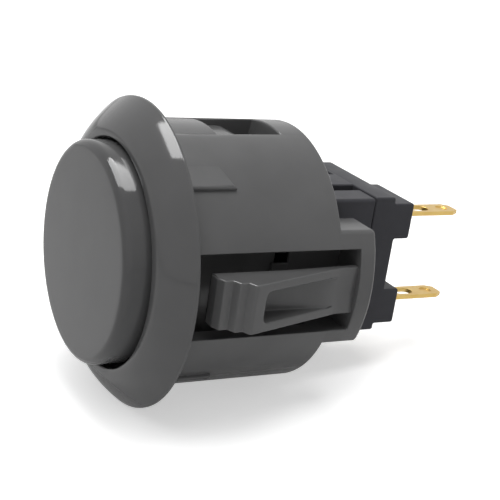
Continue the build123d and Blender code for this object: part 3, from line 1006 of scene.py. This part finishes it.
def layFloor(look):
    # Point = contact + u * reach * across + v * reach * along, for u and v from -1 to 1
    contact = np.array(look["rimContact"])
    along = np.array(look["barrelContact"]) - contact
    along = along / np.linalg.norm(along)
    across = np.array([1.0, 0.0, 0.0])
    share = np.linspace(-1, 1, look["rows"])
    u, v = np.meshgrid(share, share, indexing="ij")
    points = contact + look["reach"] * (u[..., None] * across + v[..., None] * along)
    quads = gridQuads(look["rows"], look["rows"])
    mesh = bpy.data.meshes.new("floor")
    mesh.from_pydata(points.reshape(-1, 3).tolist(), [], quads.reshape(-1, 4).tolist())
    floor = bpy.data.objects.new("floor", mesh)
    bpy.context.scene.collection.objects.link(floor)

    material, tree, shader = newMaterial("paperFloor")
    coords = addNode(tree, "ShaderNodeTexCoord").outputs["Object"]
    fibre = noiseOn(tree, coords, look["fibresPerMetre"], detail=3.0)
    shader.inputs["Base Color"].default_value = (*look["colour"], 1)
    shader.inputs["Roughness"].default_value = look["roughness"]
    shader.inputs["Specular IOR Level"].default_value = look["sheen"]
    fibreNormal = bumpFrom(tree, fibre, look["fibreStrength"], look["fibreDepth"])
    tree.links.new(fibreNormal, shader.inputs["Normal"])
    path = addNode(tree, "ShaderNodeLightPath")
    mirrored = addNode(tree, "ShaderNodeMath", operation="MULTIPLY")
    mirrored.inputs[1].default_value = look["mirrorLift"]
    tree.links.new(path.outputs["Is Glossy Ray"], mirrored.inputs[0])
    away = addNode(tree, "ShaderNodeVectorMath", operation="LENGTH")
    tree.links.new(coords, away.inputs[0])
    fade = addNode(tree, "ShaderNodeMapRange")
    fade.inputs["From Min"].default_value, fade.inputs["From Max"].default_value = look["fade"]
    fade.inputs["To Min"].default_value = look["lift"]
    tree.links.new(away.outputs["Value"], fade.inputs["Value"])
    glow = addNode(tree, "ShaderNodeMath", operation="MULTIPLY_ADD")
    tree.links.new(path.outputs["Is Camera Ray"], glow.inputs[0])
    tree.links.new(fade.outputs["Result"], glow.inputs[1])
    tree.links.new(mirrored.outputs["Value"], glow.inputs[2])
    shader.inputs["Emission Color"].default_value = (1, 1, 1, 1)
    tree.links.new(glow.outputs["Value"], shader.inputs["Emission Strength"])
    mesh.materials.append(material)


layFloor(floorLook)
print("floor laid")


# Light: white surroundings, a soft box above, one in front, and a card that only gleams

roomLight = {"seen": 1.0, "ambient": 0.38}

panels = {
    "topBox": {"place": (0, 0, 0.70), "turn": (0, 0, 0), "size": (0.50, 0.50), "radiance": 4.2},
    "frontBox": {"place": (0.10, -0.33, 0.62), "turn": (27.7, 9.2, 0), "size": (0.50, 0.50), "radiance": 2.1},
}


def lightRoom(look):
    # The camera, mirrors and glass see white, and everything else gets the ambient light
    world = bpy.data.worlds.new("whiteRoom")
    bpy.context.scene.world = world
    world.use_nodes = True
    tree = world.node_tree
    background = tree.nodes["Background"]
    background.inputs["Color"].default_value = (1, 1, 1, 1)
    background.inputs["Strength"].default_value = look["ambient"]
    shown = addNode(tree, "ShaderNodeBackground")
    shown.inputs["Color"].default_value = (1, 1, 1, 1)
    shown.inputs["Strength"].default_value = look["seen"]
    path = addNode(tree, "ShaderNodeLightPath")
    mirrored = addNode(tree, "ShaderNodeMath", operation="MAXIMUM")
    tree.links.new(path.outputs["Is Glossy Ray"], mirrored.inputs[0])
    tree.links.new(path.outputs["Is Transmission Ray"], mirrored.inputs[1])
    seen = addNode(tree, "ShaderNodeMath", operation="MAXIMUM")
    tree.links.new(path.outputs["Is Camera Ray"], seen.inputs[0])
    tree.links.new(mirrored.outputs["Value"], seen.inputs[1])
    mixed = addNode(tree, "ShaderNodeMixShader")
    tree.links.new(seen.outputs["Value"], mixed.inputs["Fac"])
    tree.links.new(background.outputs["Background"], mixed.inputs[1])
    tree.links.new(shown.outputs["Background"], mixed.inputs[2])
    tree.links.new(mixed.outputs["Shader"], tree.nodes["World Output"].inputs["Surface"])


def hangPanel(name, look):
    # A panel's power is its radiance times its area times pi
    lamp = bpy.data.lights.new(name, "AREA")
    lamp.shape = "RECTANGLE"
    lamp.size, lamp.size_y = look["size"]
    lamp.energy = look["radiance"] * look["size"][0] * look["size"][1] * math.pi
    panel = bpy.data.objects.new(name, lamp)
    bpy.context.scene.collection.objects.link(panel)
    panel.location = look["place"]
    panel.rotation_euler = [math.radians(angle) for angle in look["turn"]]
    panel.visible_glossy = False


gleamCard = {
    "height": 0.07,
    "outline": [(-0.0440, -0.0355), (-0.0055, -0.0540), (0.0040, -0.0450), (0.0120, -0.0200),
                (0.0160, 0.0210), (-0.0360, 0.0210), (-0.0346, -0.0310)],
    "radiance": 14.5,
}


def hangCard(look):
    # A flat outline at one height; only shiny surfaces see the card
    outline = np.array(look["outline"])
    points = np.column_stack([outline, np.full(len(outline), look["height"])])
    mesh = bpy.data.meshes.new("gleamCard")
    mesh.from_pydata(points.tolist(), [], [list(range(len(points)))])
    card = bpy.data.objects.new("gleamCard", mesh)
    bpy.context.scene.collection.objects.link(card)
    card.visible_camera = False
    card.visible_diffuse = False
    card.visible_shadow = False
    material, tree, shader = newMaterial("cardLight")
    shader.inputs["Base Color"].default_value = (0, 0, 0, 1)
    shader.inputs["Emission Color"].default_value = (1, 1, 1, 1)
    shader.inputs["Emission Strength"].default_value = look["radiance"]
    mesh.materials.append(material)


lightRoom(roomLight)
for panelName, look in panels.items():
    hangPanel(panelName, look)
hangCard(gleamCard)
print("light set:", len(panels), "panels and a card")


# Camera: turned round the button, tilted and rolled as the photograph was taken

cameraView = {
    "azimuth": 59.08,
    "elevation": 18.37,
    "roll": 8.58,
    "distance": 0.1346,
    "right": 0.01282,           # the frame's centre, to the right of and above the origin
    "above": 0.00018,
    "focalPixels": 1258.0,
    "framePixels": 500.0,
    "sensor": 36.0,
    "clip": (0.005, 20.0),
}


def setCamera(look):
    # Turn and tilt give the direction back to the camera, and the roll turns its right and up about that
    turn, lift, roll = (math.radians(look[key]) for key in ("azimuth", "elevation", "roll"))
    back = Vector((math.sin(turn) * math.cos(lift), -math.cos(turn) * math.cos(lift), math.sin(lift)))
    level = Vector((math.cos(turn), math.sin(turn), 0))
    upright = back.cross(level)
    right = level * math.cos(roll) + upright * math.sin(roll)
    up = back.cross(right)
    lens = bpy.data.cameras.new("camera")
    lens.sensor_width = look["sensor"]
    lens.lens = look["focalPixels"] / look["framePixels"] * look["sensor"]
    lens.clip_start, lens.clip_end = look["clip"]
    camera = bpy.data.objects.new("camera", lens)
    bpy.context.scene.collection.objects.link(camera)
    eye = right * look["right"] + up * look["above"] + back * look["distance"]
    turned = Matrix((right, up, back)).transposed().to_4x4()
    camera.matrix_world = Matrix.Translation(eye) @ turned
    bpy.context.scene.camera = camera


setCamera(cameraView)
bpy.context.scene.view_settings.view_transform = "Standard"
